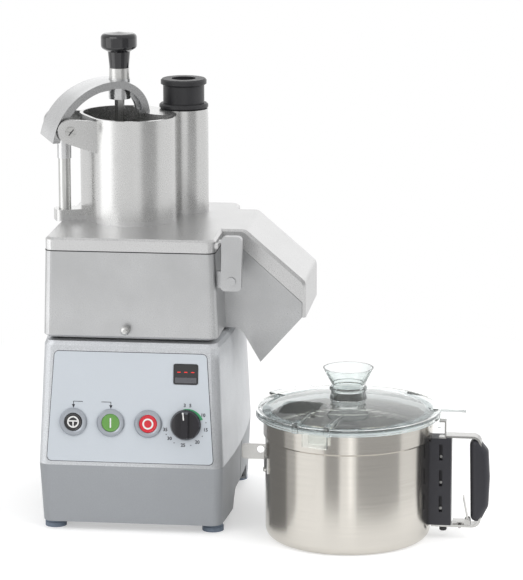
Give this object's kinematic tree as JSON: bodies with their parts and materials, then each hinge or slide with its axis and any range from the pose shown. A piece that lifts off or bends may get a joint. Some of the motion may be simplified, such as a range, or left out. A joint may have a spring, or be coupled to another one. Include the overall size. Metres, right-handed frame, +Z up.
{
  "type": "commercial food processor",
  "caption": "Countertop food processor: leaning grey motor base, cast vegetable attachment with hopper, feed tube, pusher arm and side chute, beside a steel cutter bowl with clear lid.",
  "frame": {"origin": "centre of the bounding box on the table, under machine and bowl", "axes": "+Z up, +X to the right towards the cutter bowl as seen by the user, +Y to the back of the machine"},
  "size_m": [0.6254, 0.4242, 0.652],
  "materials": {
    "cast_body": "pale grey powder coat on the motor base casting",
    "skirt_grey": "moulded mid grey skirt",
    "sheet_steel": "plain sheet",
    "foot_rubber": "blue grey rubber",
    "zinc_steel": "bright plated steel",
    "label_silver": "pale blue grey satin plate",
    "black_gloss": "glossy black",
    "bezel_grey": "grey bezel",
    "green_button": "green",
    "red_button": "red",
    "switch_black": "black moulding",
    "black_matte": "black moulding",
    "motor_iron": "motor frame and rotor iron",
    "copper_winding": "lacquered windings",
    "board_green": "circuit board",
    "cast_aluminium": "fine sand cast with a tumbled finish",
    "white_plastic": "white food plastic",
    "blade_steel": "ground stainless steel",
    "bowl_steel": "brushed stainless steel",
    "clear_lid": "clear moulded lid",
    "seal_grey": "pale translucent seal",
    "post_dark": "dark grey moulding"
  },
  "bodies": {
    "base": {"motor_housing": "cast_body", "base_skirt": "skirt_grey", "bottom_plate": "sheet_steel", "feet": "foot_rubber", "foot_bolts": "zinc_steel", "label_plate": "label_silver", "display_window": "black_gloss", "button_bezels": "bezel_grey", "button_switches": "switch_black", "dial_control": "switch_black", "motor_frame": "motor_iron", "stator": "copper_winding", "upper_bearing": "zinc_steel", "lower_bearing": "zinc_steel", "shaft_seal": "foot_rubber", "control_board": "board_green", "cable_gland": "black_matte"},
    "spindle": {"rotor": "motor_iron", "drive_shaft": "zinc_steel", "cooling_fan": "switch_black"},
    "pulse": {"pulse_button": "black_gloss"},
    "start": {"start_button": "green_button"},
    "stop": {"stop_button": "red_button"},
    "dial": {"speed_dial": "black_matte"},
    "attachment": {"attachment": "cast_aluminium", "ball_stud": "zinc_steel", "latch_bracket": "cast_aluminium", "hinge_pin": "zinc_steel"},
    "latch": {"latch_lever": "cast_aluminium"},
    "disc_stack": {"ejector_disc": "white_plastic", "slicing_disc": "cast_aluminium", "slicing_blade": "blade_steel"},
    "head": {"feed_head": "cast_aluminium", "pusher_arm": "cast_aluminium", "arm_pin": "zinc_steel", "guide_rod": "blade_steel", "guide_bush": "zinc_steel"},
    "pusher": {"pusher_rod": "blade_steel", "pusher_plate": "white_plastic", "pusher_knob": "black_gloss"},
    "small_pusher": {"small_pusher": "black_matte"},
    "cutter": {"cutter_bowl": "bowl_steel", "bowl_stem": "bowl_steel", "handle_post": "post_dark", "post_screws": "zinc_steel", "handle_strap": "bowl_steel", "handle_grip": "post_dark", "catch_bracket": "bowl_steel", "hook_tab": "bowl_steel"},
    "blades": {"cutter_hub": "black_matte", "cutter_blades": "blade_steel"},
    "lid_carrier": {"lid_seal": "seal_grey"},
    "lid": {"bowl_lid": "clear_lid"},
    "trigger": {"release_trigger": "bowl_steel"},
    "plunger": {"safety_plunger": "black_matte"}
  },
  "joints": [
    {"name": "spindle_spin", "type": "hinge", "parent": "base", "child": "spindle", "pos_m": [-0.16445, 0.03204, 0.2], "axis": [0, 0, 1], "continuous": true},
    {"name": "pulse_press", "type": "slide", "parent": "base", "child": "pulse", "axis": [0, 0.9944, -0.1058], "range_m": [0, 0.0025], "stiffness_N_per_m": 600},
    {"name": "start_press", "type": "slide", "parent": "base", "child": "start", "axis": [0, 0.9944, -0.1058], "range_m": [0, 0.0025], "stiffness_N_per_m": 600},
    {"name": "stop_press", "type": "slide", "parent": "base", "child": "stop", "axis": [0, 0.9944, -0.1058], "range_m": [0, 0.0025], "stiffness_N_per_m": 600},
    {"name": "dial_turn", "type": "hinge", "parent": "base", "child": "dial", "pos_m": [-0.08945, -0.11777, 0.15137], "axis": [0, 0.9944, -0.1058], "range_deg": [0, 285]},
    {"name": "attachment_lift", "type": "slide", "parent": "base", "child": "attachment", "axis": [0, 0, 1], "range_m": [0, 0.11]},
    {"name": "latch_swing", "type": "hinge", "parent": "attachment", "child": "latch", "pos_m": [-0.02995, -0.09896, 0.344], "axis": [0, 1, 0], "range_deg": [-4, 60]},
    {"name": "disc_spin", "type": "hinge", "parent": "attachment", "child": "disc_stack", "pos_m": [-0.16445, 0.03204, 0.33], "axis": [0, 0, 1], "continuous": true},
    {"name": "head_open", "type": "hinge", "parent": "attachment", "child": "head", "pos_m": [-0.16445, 0.17554, 0.3858], "axis": [-1, 0, 0], "range_deg": [0, 75]},
    {"name": "pusher_slide", "type": "slide", "parent": "head", "child": "pusher", "axis": [0, 0, 1], "range_m": [0, 0.14]},
    {"name": "small_pusher_lift", "type": "slide", "parent": "head", "child": "small_pusher", "axis": [0, 0, 1], "range_m": [0, 0.17]},
    {"name": "cutter_lift", "type": "slide", "parent": "base", "child": "cutter", "axis": [0.7071, 0, 0.7071], "range_m": [0, 0.15]},
    {"name": "blade_spin", "type": "hinge", "parent": "cutter", "child": "blades", "pos_m": [0.12375, -0.08636, 0.06], "axis": [0, 0, 1], "continuous": true},
    {"name": "lid_lift", "type": "slide", "parent": "cutter", "child": "lid_carrier", "axis": [0, 0, 1], "range_m": [0, 0.05]},
    {"name": "lid_twist", "type": "hinge", "parent": "lid_carrier", "child": "lid", "pos_m": [0.12375, -0.08636, 0.17], "axis": [0, 0, 1], "range_deg": [0, 25]},
    {"name": "trigger_squeeze", "type": "hinge", "parent": "cutter", "child": "trigger", "pos_m": [0.28375, -0.08636, 0.0225], "axis": [0, 1, 0], "range_deg": [0, 8], "stiffness_Nm_per_rad": 0.6},
    {"name": "plunger_press", "type": "slide", "parent": "cutter", "child": "plunger", "axis": [0, 0, 1], "range_m": [0, 0.003], "stiffness_N_per_m": 300}
  ],
  "couplings": [
    {"joint": "disc_spin", "follows": "spindle_spin", "ratio": 1}
  ]
}
